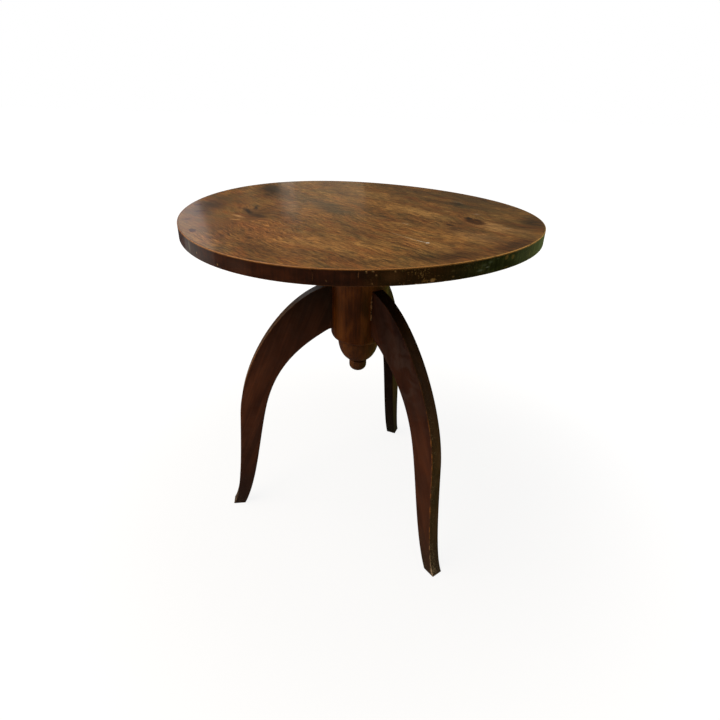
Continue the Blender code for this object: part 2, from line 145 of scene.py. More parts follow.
def soft_panel(name, place, target, size, radiance, tint="ffffff"):
    """Hang an area light of a given size in metres and radiance, facing a target."""
    light = bpy.data.lights.new(name, "AREA")
    light.shape = "RECTANGLE"
    light.size, light.size_y = size
    light.energy = radiance * math.pi * size[0] * size[1]
    light.color = linear(tint)[:3]
    panel = bpy.data.objects.new(name, light)
    facing = (Vector(target) - Vector(place)).to_track_quat("-Z", "Y")
    panel.matrix_world = Matrix.Translation(place) @ facing.to_matrix().to_4x4()
    panel.visible_camera = False
    scene.collection.objects.link(panel)
    return panel


shape = bmesh.new()
bmesh.ops.create_grid(shape, x_segments=1, y_segments=1, size=FLOOR_SIDE / 2)
object_from(shape, "floor", painted_floor())

air = bpy.data.worlds.new("studio_air")
scene.world = air
air.use_nodes = True
tree = air.node_tree
tree.nodes.clear()
toward = add(tree, "TexCoord", {}).outputs["Generated"]
height = add(tree, "VectorMath", {0: toward, 1: DOME_AXIS}, operation="DOT_PRODUCT")
dome = add(tree, "ValToRGB", {0: height},
           stops=((0, "2a2620"), (1, "e8e6e2"), (0.5, "322e26"), (0.74, "bab8b4")))
room = add(tree, "Background", {"Color": dome, "Strength": 1})
backdrop = add(tree, "Background", {"Color": (1, 1, 1, 1), "Strength": 1})
paths = add(tree, "LightPath", {}).outputs
shown = add(tree, "Math", {0: paths["Is Camera Ray"], 1: paths["Is Transmission Ray"]}, operation="MAXIMUM")
shown = add(tree, "Math", {0: paths["Is Glossy Ray"], 1: ROOM_IN_GLOSS, 2: shown}, operation="MULTIPLY_ADD")
seen = add(tree, "MixShader", {0: shown, 1: room, 2: backdrop})
add(tree, "OutputWorld", {"Surface": seen})

soft_panel("overhead_panel", (-1.5, -0.6, 2.25), (0, 0, 0.4), (1.8, 1.8), 3.3, "fff4e6")
# Panels beyond the table at the left: name, left and right edge and top in metres, radiance, tint.
WINDOW_Y, WINDOW_SILL_Z = 2.65, 0.6
WINDOW_PANELS = (
    ("wide", -1.7, -1.14, 1.75, 0.8, "eeeaec"),
    ("dull", -0.84, -0.72, 1.2, 0.26, "f0e4cc"),
    ("narrow", -0.55, -0.45, 1.16, 1.3, "f2ead8"),
    ("faint", -0.45, 0.02, 1.22, 0.27, "f2e4c6"),
)
for name, left, right, top, radiance, tint in WINDOW_PANELS:
    middle = ((left + right) / 2, WINDOW_Y, (top + WINDOW_SILL_Z) / 2)
    soft_panel("window_panel_" + name, middle, (middle[0], 0, middle[2]),
               (right - left, top - WINDOW_SILL_Z), radiance, tint)
soft_panel("side_panel", (-2.6, 0.6, 1.1), (0, 0, 0.6), (1.6, 1.5), 0.72, "f4eee2")
soft_panel("low_left_panel", (-1.5, 0.4, 0.2), (-0.22, -0.2, 0.634), (1, 0.32), 0.42, "f0eee6")
soft_panel("low_right_panel", (1.42, 0.72, 0.28), (0.26, -0.15, 0.634), (1.3, 0.5), 0.26, "a8b884")
front_fill = soft_panel("fill_panel", (-1.3, -1.15, 0.35), (0, 0, 0.45), (0.9, 0.6), 0.95, "ffe2bc")
back_fill = soft_panel("back_fill_panel", (1.9, 2, 0.45), (0, 0, 0.4), (2.2, 0.8), 1.8, "fff4e8")
front_fill.visible_glossy = back_fill.visible_glossy = False


# Column: one turned billet with a spigot up into the block, a straight barrel, a rounded
# shoulder and a cup below. Walnut-stained beech, turned on a lathe, sanded and varnished.
BLOCK_TOP_Z, BARREL_TOP_Z = 0.6227, 0.5964
BARREL_BOTTOM_Z, CUP_BOTTOM_Z = 0.4089, 0.3609
SPIGOT_RADIUS, BARREL_RADIUS, BARREL_EDGE = 0.018, 0.053, 0.002
BARREL_RINGS, BARREL_RING_GAP, SHOULDER_RADIUS = 9, 0.0168, 0.0142
CUP_RADIUS, CUP_FOOT_RADIUS, CUP_ARRIS = 0.0397, 0.012, 0.0008
TURNED_STEPS = 160
PAINTED_HIGHLIGHT_TURN, DUST_Z = math.radians(230), 0.4069
MERGE = 0.000001


def arc(centre, radii, start, end, steps):
    """Points of an elliptical arc between two angles in degrees."""
    angles = [math.radians(start + (end - start) * step / steps) for step in range(steps + 1)]
    return [(centre[0] + radii[0] * math.cos(turn), centre[1] + radii[1] * math.sin(turn))
            for turn in angles]


def turned(outline, steps=TURNED_STEPS):
    """Spin an outline of (radius, height) points into a closed shell."""
    shape = bmesh.new()
    points = [shape.verts.new((radius, 0, height)) for radius, height in outline]
    lines = [shape.edges.new(pair) for pair in zip(points, points[1:])]
    bmesh.ops.spin(shape, geom=points + lines, cent=(0, 0, 0), axis=(0, 0, 1), dvec=(0, 0, 0),
                   angle=math.tau, steps=steps, use_merge=True, use_duplicate=False)
    bmesh.ops.remove_doubles(shape, verts=shape.verts, dist=MERGE)
    bmesh.ops.recalc_face_normals(shape, faces=shape.faces)
    return shape


def streaks(tree, where, per_metre, detail, roughness=0.5):
    """Noise drawn out along the grain, given by its scale per metre along each axis."""
    drawn = add(tree, "VectorMath", {0: where, 1: per_metre}, operation="MULTIPLY")
    return add(tree, "TexNoise", {"Vector": drawn, "Scale": 1, "Detail": detail, "Roughness": roughness})


def varnish(tree, colour, roughness, pattern, relief, specular, coat, coat_roughness, depth=0.0004):
    """Stained wood under satin varnish, its relief drawn from a pattern and a depth in metres."""
    bump = add(tree, "Bump", {"Strength": relief, "Distance": depth, "Height": pattern})
    wood = add(tree, "BsdfPrincipled", {
        "Base Color": colour, "Roughness": roughness, "Normal": bump, "Specular IOR Level": specular,
        "Coat Weight": coat, "Coat Roughness": coat_roughness})
    add(tree, "OutputMaterial", {"Surface": wood})


def turned_wood(name, pale, mid, dark, gloss):
    """Stained beech turned on a lathe: upright flecks and streaks under satin varnish, with a painted
    highlight down the window side, duller on the cup, and a painted highlight along the cup's arris."""
    skin, tree = new_skin(name)
    spot = add(tree, "TexCoord", {}).outputs["Object"]
    streak = streaks(tree, spot, (300, 300, 16), 3, 0.6)
    cloud = streaks(tree, spot, (60, 60, 22), 4)
    both = add(tree, "Mix", {0: 0.35, 1: cloud, 2: streak})
    stain = add(tree, "ValToRGB", {0: both}, stops=((0.34, dark), (0.66, pale), (0.5, mid)))
    outward = add(tree, "VectorMath", {0: spot, 1: (1, 1, 0)}, operation="MULTIPLY")
    outward = add(tree, "VectorMath", {0: outward}, operation="NORMALIZE")
    # A painted highlight: the stain is lighter down the side that faces the window light.
    highlight_side = (math.cos(PAINTED_HIGHLIGHT_TURN), math.sin(PAINTED_HIGHLIGHT_TURN), 0)
    facing = add(tree, "VectorMath", {0: outward, 1: highlight_side}, operation="DOT_PRODUCT")
    painted_highlight = add(tree, "MapRange", {0: facing, "From Min": 0.965, "From Max": 1, "To Max": 0.17},
                   interpolation_type="SMOOTHSTEP")
    rise = add(tree, "SeparateXYZ", {0: spot}).outputs["Z"]
    dust = add(tree, "MapRange", {0: rise, "From Min": BARREL_BOTTOM_Z, "From Max": DUST_Z, "To Max": 0.25})
    # A painted highlight: a light ring along the cup's top arris.
    arris = add(tree, "Math", {0: rise, 1: BARREL_BOTTOM_Z - CUP_ARRIS / 2, 2: CUP_ARRIS},
                operation="COMPARE")
    arris = add(tree, "Math", {0: arris, 1: 0.8}, operation="MULTIPLY")
    for cover, tint in ((painted_highlight, "b47038"), (dust, "604a34"), (arris, "b8783c")):
        stain = add(tree, "Mix", {0: cover, 1: stain, 2: linear(tint)}, data_type="RGBA")
    tooling = streaks(tree, spot, (6, 6, 900), 2)
    sheen = add(tree, "MapRange", {0: cloud, "To Min": gloss - 0.07, "To Max": gloss + 0.08})
    varnish(tree, stain, sheen, tooling, relief=0.12, specular=0.25, coat=0.2, coat_roughness=0.18)
    return skin


outline = [(0, BLOCK_TOP_Z), (SPIGOT_RADIUS, BLOCK_TOP_Z), (SPIGOT_RADIUS, BARREL_TOP_Z)]
outline += arc((BARREL_RADIUS - BARREL_EDGE, BARREL_TOP_Z - BARREL_EDGE), (BARREL_EDGE, BARREL_EDGE),
               90, 0, 5)
outline += [(BARREL_RADIUS, BARREL_TOP_Z - ring * BARREL_RING_GAP) for ring in range(1, BARREL_RINGS + 1)]
outline += arc((BARREL_RADIUS - SHOULDER_RADIUS, BARREL_BOTTOM_Z + SHOULDER_RADIUS),
               (SHOULDER_RADIUS, SHOULDER_RADIUS), 0, -90, 12)
cup_side_z = BARREL_BOTTOM_Z - CUP_ARRIS
outline += arc((CUP_RADIUS - CUP_ARRIS, cup_side_z), (CUP_ARRIS, CUP_ARRIS), 90, 0, 4)
outline += arc((CUP_FOOT_RADIUS, cup_side_z), (CUP_RADIUS - CUP_FOOT_RADIUS, cup_side_z - CUP_BOTTOM_Z),
               0, -90, 24)[1:]
outline += [(0, CUP_BOTTOM_Z)]
column = object_from(turned(outline), "turned_column",
                     turned_wood("walnut_stained_beech_column", "945214", "6d3706", "462102", 0.34))
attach(column, "root")
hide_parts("column")


# Drop button: a small knob under the cup, with a thin neck and a domed end.
# Turned from the same stained beech and glued in by its spigot.
BUTTON_TOP_Z, BUTTON_BOTTOM_Z = 0.3606, 0.3359
BUTTON_RADIUS, BUTTON_NECK_RADIUS, BUTTON_NECK_HEIGHT = 0.017, 0.0125, 0.0018
BUTTON_EDGE, BUTTON_DOME_HEIGHT, BUTTON_FLAT_RADIUS = 0.0015, 0.012, 0.0045

neck_bottom = BUTTON_TOP_Z - BUTTON_NECK_HEIGHT
outline = [(0, BUTTON_TOP_Z), (BUTTON_NECK_RADIUS, BUTTON_TOP_Z), (BUTTON_NECK_RADIUS, neck_bottom)]
outline += arc((BUTTON_RADIUS - BUTTON_EDGE, neck_bottom - BUTTON_EDGE), (BUTTON_EDGE, BUTTON_EDGE),
               90, 0, 6)
outline += arc((BUTTON_FLAT_RADIUS, BUTTON_BOTTOM_Z + BUTTON_DOME_HEIGHT),
               (BUTTON_RADIUS - BUTTON_FLAT_RADIUS, BUTTON_DOME_HEIGHT), 0, -90, 16)
outline += [(0, BUTTON_BOTTOM_Z)]
button = object_from(turned(outline), "drop_button",
                     turned_wood("walnut_stained_beech_button", "844812", "653409", "422005", 0.34))
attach(button, "root")
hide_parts("drop_finial")


# Legs: three alike S-curved boards, each bandsawn from a 23 mm plank, its arrises eased by
# hand, hollowed at the top to sit against the barrel, and fixed there with two dowels and glue.
JOINT_TOP_Z, JOINT_BOTTOM_Z = 0.5194, 0.4354
TOE_RADIUS, TOE_LENGTH = 0.2753, 0.0256
LEG_THICKNESS, LEG_ARRIS, LEG_FIT_RADIUS, LEG_OVERRUN = 0.023, 0.001, 0.0533, 0.002
LEG_TURNS = {"left": 187.3, "front": 307.3, "rear": 67.3}
LEG_STATIONS, LEG_ROWS, LEG_SPAN_STEPS = 100, 8, 60
LEG_SLICES, LEG_SEAT_MARGIN = (-0.6, -0.2, 0.2, 0.6), 0.004
GRAIN_LEAN = 22
FOOT_SCUFF_Z, RUB_TOP_Z, RUB_FADE = 0.09, 0.42, 0.14
BLOOM_AND_SHEEN_PLACE, BLOOM_AND_SHEEN_REACH = (0.138, 0.4), (0.06, 0.075)
PAINTED_LIGHT_Z, PAINTED_LIGHT_REACH = 0.3, 0.1
# Most painted shade towards the joint under the top, the height where it starts, the rise it takes, and
# most painted light at mid height.
LEG_SHADE_AND_LIGHT = {"left": (0.66, 0.4, 0.1, 0.42), "front": (0.25, 0.28, 0.12, 0.1),
             "rear": (0.25, 0.28, 0.12, 0.1)}


def lean(place, length, degrees):
    """Handle point at a length and a downward slope from a knot."""
    turn = math.radians(degrees)
    return Vector((place[0] + length * math.cos(turn), place[1] - length * math.sin(turn)))


def evened(knots, stations):
    """Evenly spaced points along joined Bezier spans given as (knot, handle, handle, knot)."""
    run = [Vector((*knots[0][0], 0))]
    for span in knots:
        run += interpolate_bezier(*[Vector((*place, 0)) for place in span], LEG_SPAN_STEPS)[1:]
    reach = [0]
    for last, spot in zip(run, run[1:]):
        reach.append(reach[-1] + (spot - last).length)
    spots, at = [], 0
    for station in range(stations + 1):
        goal = reach[-1] * station / stations
        while at < len(run) - 2 and reach[at + 1] < goal:
            at += 1
        spots.append(run[at].lerp(run[at + 1], (goal - reach[at]) / (reach[at + 1] - reach[at])))
    return spots


# Knees and handles stand at shares of the toe radius and the joint's height, with slopes in degrees.
seat_radius = math.sqrt(BARREL_RADIUS ** 2 - (LEG_THICKNESS / 2) ** 2)
start_radius = seat_radius - LEG_OVERRUN
outer_top, inner_top = (start_radius, JOINT_TOP_Z), (start_radius, JOINT_BOTTOM_Z)
outer_knee = (TOE_RADIUS * 0.868, JOINT_TOP_Z * 0.467)
inner_knee = (TOE_RADIUS * 0.681, JOINT_TOP_Z * 0.487)
outer_toe, inner_toe = (TOE_RADIUS, 0), (TOE_RADIUS - TOE_LENGTH, 0)
outer_line = evened([
    (outer_top, lean(outer_top, TOE_RADIUS * 0.321, 10.3),
     lean(outer_knee, -JOINT_TOP_Z * 0.243, 85.5), outer_knee),
    (outer_knee, lean(outer_knee, JOINT_TOP_Z * 0.216, 85.5),
     lean(outer_toe, -JOINT_TOP_Z * 0.066, 56.4), outer_toe)], LEG_STATIONS)
inner_line = evened([
    (inner_top, lean(inner_top, TOE_RADIUS * 0.353, 30.1),
     lean(inner_knee, -JOINT_TOP_Z * 0.158, 77), inner_knee),
    (inner_knee, lean(inner_knee, JOINT_TOP_Z * 0.159, 77),
     lean(inner_toe, -JOINT_TOP_Z * 0.135, 63.4), inner_toe)], LEG_STATIONS)
for line in (outer_line, inner_line):
    line[0] = line[0].lerp(line[1], (LEG_FIT_RADIUS - line[0].x) / (line[1].x - line[0].x))


def edge_distances(place):
    """Distances of a place on a leg from the outer and the inner line of its outline."""
    return [min((place.xz - spot.xy).length for spot in line) for line in (outer_line, inner_line)]


def leg_board():
    """One leg in its own plane: an S-shaped slab with eased arrises and a hollowed end."""
    shape = bmesh.new()
    bmesh.ops.create_grid(shape, x_segments=LEG_STATIONS, y_segments=LEG_ROWS, size=1)
    for point in shape.verts:
        along, across = (point.co.x + 1) / 2, (point.co.y + 1) / 2
        station = min(round(along * LEG_STATIONS), LEG_STATIONS)
        spot = outer_line[station].lerp(inner_line[station], across)
        point.co = (spot.x, -LEG_THICKNESS / 2, spot.y)
    grown = bmesh.ops.extrude_face_region(shape, geom=shape.faces[:])["geom"]
    bmesh.ops.translate(shape, verts=[e for e in grown if isinstance(e, bmesh.types.BMVert)],
                        vec=(0, LEG_THICKNESS, 0))
    bmesh.ops.recalc_face_normals(shape, faces=shape.faces)
    for cut in LEG_SLICES:
        bmesh.ops.bisect_plane(shape, geom=shape.verts[:] + shape.edges[:] + shape.faces[:], dist=MERGE,
                               plane_co=(0, cut * LEG_THICKNESS / 2, 0), plane_no=(0, 1, 0))
    for point in shape.verts:
        if point.co.x < LEG_FIT_RADIUS + MERGE:
            point.co.x = math.sqrt(LEG_FIT_RADIUS ** 2 - point.co.y ** 2)
    arrises = [edge for edge in shape.edges if edge.calc_face_angle(0) > math.radians(40)
               and not all(point.co.x < LEG_FIT_RADIUS + MERGE
                           and point.co.z > JOINT_BOTTOM_Z - LEG_SEAT_MARGIN for point in edge.verts)]
    bmesh.ops.bevel(shape, geom=arrises, offset=LEG_ARRIS, offset_type="OFFSET", segments=4,
                    profile=0.5, affect="EDGES", material=-1)
    edge_gaps = shape.verts.layers.float_vector.new("edge_gaps")
    for point in shape.verts:
        to_side = LEG_THICKNESS / 2 - abs(point.co.y)
        to_outer, to_inner = edge_distances(point.co)
        point[edge_gaps] = (to_outer + to_side, to_inner + to_side, 0)
    return shape


def clamped(share):
    """A share held between 0 and 1."""
    return min(1, max(0, share))


def leg_wear(side, point):
    """Rubbing of the arrises, bloom with painted sheen, and foot scuffs at a point of one leg,
    each 0 to 1. The front leg is rubbed most, below the knee and on its near side."""
    foot = clamped(1 - point.z / FOOT_SCUFF_Z)
    if side == "front":
        rub = 0.1 + 0.9 * clamped((RUB_TOP_Z - point.z) / RUB_FADE) if point.y < 0 else 0.25
        off = [(point.x - BLOOM_AND_SHEEN_PLACE[0]) / BLOOM_AND_SHEEN_REACH[0], (point.z - BLOOM_AND_SHEEN_PLACE[1]) / BLOOM_AND_SHEEN_REACH[1]]
        return rub, 0.15 + 0.85 * math.exp(-off[0] ** 2 - off[1] ** 2), foot
    return (0.22 if point.y > 0 else 0.12), 0.15, foot


def leg_shade_and_light(side, height):
    """Share of painted shade towards the joint under the top, and the brightness painted light gives the
    stain at mid height.
    """
    most_shade, start, rise, most_light = LEG_SHADE_AND_LIGHT[side]
    lit_share = math.exp(-((height - PAINTED_LIGHT_Z) / PAINTED_LIGHT_REACH) ** 2)
    return most_shade * clamped((height - start) / rise), 1 + most_light * lit_share


def leg_wood(name, pale, mid, dark, shade_from, shade_to, speck_from):
    """Beech under a very dark red-brown stain, lifted by painted light in places: streaks along the
    board, a dull bloom of old polish in clouds that also paints sheen, pale wood where the arrises
    are rubbed through, pale specks, dirt towards the foot, and painted shade between two heights."""
    skin, tree = new_skin(name)
    board = add(tree, "Attribute", {}, attribute_name="board").outputs["Vector"]
    wear = add(tree, "Attribute", {}, attribute_name="wear").outputs["Vector"]
    wear = add(tree, "SeparateXYZ", {0: wear}).outputs
    grain = add(tree, "Mapping", {"Vector": board, "Rotation": (0, math.radians(GRAIN_LEAN), 0)})
    streak = streaks(tree, grain, (330, 330, 9), 3, 0.6)
    cloud = streaks(tree, grain, (44, 44, 9), 4)
    both = add(tree, "Mix", {0: 0.35, 1: cloud, 2: streak})
    stain = add(tree, "ValToRGB", {0: both}, stops=((0.32, dark), (0.7, pale), (0.5, mid)))
    rise = add(tree, "SeparateXYZ", {0: board}).outputs["Z"]
    # Painted shade: the stain darkens towards the top of the leg, under the tabletop.
    painted_shade = add(tree, "MapRange", {0: rise, "From Min": shade_from, "From Max": shade_to, "To Max": 0.85},
               interpolation_type="SMOOTHSTEP")
    shaded = add(tree, "Attribute", {}, attribute_name="painted_shade").outputs["Fac"]
    painted_shade = add(tree, "Math", {0: painted_shade, 1: shaded}, operation="MAXIMUM")
    stain = add(tree, "Mix", {0: painted_shade, 1: stain, 2: linear("130601")}, data_type="RGBA")
    # Painted light: the stain is lifted at mid height where the leg is lit, most on the left leg.
    painted_light = add(tree, "Attribute", {}, attribute_name="painted_light").outputs["Fac"]
    stain = add(tree, "VectorMath", {0: stain, "Scale": painted_light}, operation="SCALE")
    # Bloom of old polish, strongest on the front leg's near side, where its mauve-grey also paints the
    # sheen that side reflects.
    bloom_and_sheen = add(tree, "TexNoise", {"Vector": board, "Scale": 36, "Detail": 5, "Roughness": 0.62,
                                  "Distortion": 0.8})
    bloom_and_sheen = add(tree, "MapRange", {0: bloom_and_sheen, "From Min": 0.44, "From Max": 0.58, "To Max": 0.58})
    bloom_and_sheen = add(tree, "Math", {0: bloom_and_sheen, 1: wear["Y"]}, operation="MULTIPLY")
    grime = add(tree, "MapRange", {0: rise, "From Min": 0.24, "From Max": 0.1, "To Max": 0.2})
    grime = add(tree, "Math", {0: wear["Z"], 1: 0.5, 2: grime}, operation="MULTIPLY_ADD")
    speck = add(tree, "TexNoise", {"Vector": board, "Scale": 420, "Detail": 2})
    speck = add(tree, "Math", {0: wear["Z"], 1: 0.15, 2: speck}, operation="MULTIPLY_ADD")
    speck = add(tree, "MapRange", {0: speck, "From Min": speck_from, "From Max": speck_from + 0.05,
                                   "To Max": 0.9})
    speck = add(tree, "Math", {0: speck, 1: wear["X"]}, operation="MULTIPLY")
    for cover, tint in ((bloom_and_sheen, "604c42"), (grime, "36302c"), (speck, "a8946e")):
        stain = add(tree, "Mix", {0: cover, 1: stain, 2: linear(tint)}, data_type="RGBA")
    gaps = add(tree, "Attribute", {}, attribute_name="edge_gaps").outputs["Vector"]
    gaps = add(tree, "SeparateXYZ", {0: gaps}).outputs
    inner = add(tree, "Math", {0: gaps["Y"], 1: 0.001}, operation="ADD")
    nearest = add(tree, "Math", {0: gaps["X"], 1: inner}, operation="MINIMUM")
    ragged = add(tree, "TexNoise", {"Vector": board, "Scale": 90, "Detail": 5, "Roughness": 0.65})
    nearest = add(tree, "Math", {0: ragged, 1: -0.006, 2: nearest}, operation="MULTIPLY_ADD")
    rubbed = add(tree, "MapRange", {0: nearest, "From Min": -0.0016, "From Max": -0.003},
                 interpolation_type="SMOOTHSTEP")
    rubbed = add(tree, "Math", {0: rubbed, 1: wear["X"]}, operation="MULTIPLY")
    bared = add(tree, "Mix", {0: wear["Z"], 1: linear("b0703a"), 2: linear("dcc09a")}, data_type="RGBA")
    stain = add(tree, "Mix", {0: rubbed, 1: stain, 2: bared}, data_type="RGBA")
    sheen = add(tree, "MapRange", {0: cloud, "To Min": 0.34, "To Max": 0.48})
    varnish(tree, stain, sheen, streak, relief=0.12, specular=0.22, coat=0.1, coat_roughness=0.2)
    return skin


def swing(shape, degrees):
    """Turn a shape about the column's axis."""
    bmesh.ops.rotate(shape, verts=shape.verts, cent=(0, 0, 0),
                     matrix=Matrix.Rotation(math.radians(degrees), 3, "Z"))


def steady_normals(piece):
    """Keep the broad faces flat to the light beside their rounded arrises."""
    evening = piece.modifiers.new("flat_faces_stay_flat", "WEIGHTED_NORMAL")
    evening.mode, evening.weight, evening.keep_sharp = "FACE_AREA", 100, True


# One stain in three brightnesses: the outer edges, facing up, are painted lighter, and the inner edges,
# under the top, are painted near black as shade.
leg_skins = (leg_wood("dark_stained_beech_leg_sides", "6e3c22", "522b18", "3a1d10", 0.46, 0.62, 0.76),
             leg_wood("dark_stained_beech_outer_edges_painted_lighter", "865e3c", "684728", "462e18", 0.45, 0.52, 0.62),
             leg_wood("dark_stained_beech_inner_edges_painted_shade", "30160a", "241006", "180a04", 0.3, 0.6, 0.74))
plain_leg = leg_board()
for side, azimuth in LEG_TURNS.items():
    shape = plain_leg.copy()
    board, wear = [shape.verts.layers.float_vector.new(name) for name in ("board", "wear")]
    painted_shade, painted_light = [shape.verts.layers.float.new(name) for name in ("painted_shade", "painted_light")]
    for point in shape.verts:
        # Painted shade towards the joint and painted light at mid height.
        point[painted_shade], point[painted_light] = leg_shade_and_light(side, point.co.z)
        # Each leg takes its grain from another part of the plank.
        point[board] = point.co + Vector((0, azimuth / 100, 0))
        point[wear] = leg_wear(side, point.co)
    # The broad faces keep the first skin.
    for face in shape.faces:
        if abs(face.normal.y) < 0.7:
            to_outer, to_inner = edge_distances(face.calc_center_median())
            face.material_index = 1 if to_outer < to_inner else 2
    swing(shape, azimuth)
    leg = object_from(shape, "curved_leg_" + side, *leg_skins, sharp=50)
    steady_normals(leg)
    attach(leg, "root")
    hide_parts("leg_" + side)
plain_leg.free()


# Glue squeeze-out: hide glue pressed from the leg joints stands in ragged beads beside the
# boards. The front one was left proud and pale; the dark ones also paint the seam's shade.
# Beads: leg and side of it, radius, top and bottom in metres, colour.
GLUE_BEADS = (("front", -1, 0.0016, 0.513, 0.464, "b08456"), ("front", 1, 0.0007, 0.515, 0.44, "4a2a16"),
              ("left", 1, 0.0008, 0.516, 0.437, "1d0f08"), ("left", -1, 0.0008, 0.515, 0.44, "2a180c"),
              ("rear", 1, 0.0008, 0.515, 0.44, "2a180c"), ("rear", -1, 0.0008, 0.515, 0.438, "1d0f08"))
BEAD_SIDES, BEAD_CUTS, BEAD_LUMPS, BEAD_THINNEST = 8, 40, 220, 0.35


def dried_glue(name, tone):
    """Dried hide glue: brittle, half clear, with dirt caught in its lumps."""
    skin, tree = new_skin(name)
    spot = add(tree, "TexCoord", {}).outputs["Object"]
    lumps = add(tree, "TexNoise", {"Vector": spot, "Scale": 240, "Detail": 4})
    colour = add(tree, "ValToRGB", {0: lumps}, stops=((0.36, "2a1508"), (0.5, tone)))
    glue = add(tree, "BsdfPrincipled", {"Base Color": colour, "Roughness": 0.35, "IOR": 1.52})
    add(tree, "OutputMaterial", {"Surface": glue})
    return skin


for side, hand, radius, top, bottom, tone in GLUE_BEADS:
    shape = bmesh.new()
    bmesh.ops.create_cone(shape, cap_ends=True, segments=BEAD_SIDES, radius1=radius, radius2=radius,
                          depth=top - bottom)
    upright = [edge for edge in shape.edges if abs(edge.verts[0].co.z - edge.verts[1].co.z) > radius]
    bmesh.ops.subdivide_edges(shape, edges=upright, cuts=BEAD_CUTS, use_grid_fill=True)
    fit = Vector((seat_radius, hand * (LEG_THICKNESS / 2 + 0.4 * radius), (top + bottom) / 2))
    for point in shape.verts:
        lump = noise.noise(point.co * BEAD_LUMPS + Vector((LEG_TURNS[side], hand, 0)))
        taper = 1 - (2 * point.co.z / (top - bottom)) ** 8
        swell = max(BEAD_THINNEST, 0.8 + 1.2 * lump) * (0.3 + 0.7 * taper)
        point.co.xy *= swell
        point.co += fit
    swing(shape, LEG_TURNS[side])
    joint = side + ("_left" if hand > 0 else "_right")
    bead = object_from(shape, "glue_bead_" + joint, dried_glue("dried_hide_glue_" + joint, tone), sharp=180)
    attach(bead, "root")


# Dowels: two fluteless beech pegs in each leg joint, hidden in their bores.
# Raw pale beech rod, lightly chamfered, glued.
def raw_beech(name, tone, fleck):
    """Unstained beech: short darker flecks along the grain, no finish."""
    skin, tree = new_skin(name)
    spot = add(tree, "TexCoord", {}).outputs["Object"]
    flecks = streaks(tree, spot, (70, 500, 500), 3)
    colour = add(tree, "ValToRGB", {0: flecks}, stops=((0.35, fleck), (0.6, tone)))
    bump = add(tree, "Bump", {"Strength": 0.2, "Distance": 0.0003, "Height": flecks})
    wood = add(tree, "BsdfPrincipled", {"Base Color": colour, "Roughness": 0.75, "Normal": bump})
    add(tree, "OutputMaterial", {"Surface": wood})
    return skin


def reskin(node, skin):
    """Give a CAD node one new material in every slot."""
    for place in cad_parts[node].material_slots:
        place.material = skin


peg_wood = raw_beech("raw_beech_dowels", "c39a6b", "a87d50")
for side in LEG_TURNS:
    for level in ("lower", "upper"):
        reskin(f"dowel_{side}_{level}", peg_wood)


# Mounting block: a square of sawn beech that the column's spigot enters and the top is
# screwed to. Left unfinished underneath, gone brown with age.
reskin("mounting_block", raw_beech("aged_beech_block", "6e4f33", "4f3722"))


# Screws: four slotted countersunk steel screws up through the block into the top.
# Plain mild steel, turned and dulled by age.
def dull_steel():
    """Mild steel with a thin brown film in patches, satin from turning."""
    skin, tree = new_skin("dull_mild_steel_screws")
    spot = add(tree, "TexCoord", {}).outputs["Object"]
    film = add(tree, "TexNoise", {"Vector": spot, "Scale": 600, "Detail": 3})
    colour = add(tree, "ValToRGB", {0: film}, stops=((0.4, "8d8a84"), (0.7, "5d4c3e")))
    rough = add(tree, "MapRange", {0: film, "To Min": 0.3, "To Max": 0.6})
    steel = add(tree, "BsdfPrincipled", {"Base Color": colour, "Roughness": rough, "Metallic": 1})
    add(tree, "OutputMaterial", {"Surface": steel})
    return skin


screw_skin = dull_steel()
for number in range(1, 5):
    reskin(f"screw_{number}", screw_skin)


# Top: a round board, stained walnut brown and varnished, with wavy grain, knots, smoky
# stain, scuffs and a scratch. It has warped a little in wind, which lifts its rim in two places.
TOP_Z, UNDERSIDE_Z = 0.645, 0.623
BOARD_RADIUS, BOARD_RINGS, BOARD_STEPS = 0.2979, 30, 240
FLAT_RADIUS, RIM_RADIUS = 0.125, 0.3
WIND_COSINE, WIND_SINE = 0.00021, -0.00426
GRAIN_TURN = 46


def wind(place):
    """Rise of the warped top at a place: nothing over the block, most at the rim."""
    reach = max(0, (math.hypot(place.x, place.y) - FLAT_RADIUS) / (RIM_RADIUS - FLAT_RADIUS))
    turn = 2 * math.atan2(place.y, place.x)
    return reach ** 1.5 * (WIND_COSINE * math.cos(turn) + WIND_SINE * math.sin(turn))


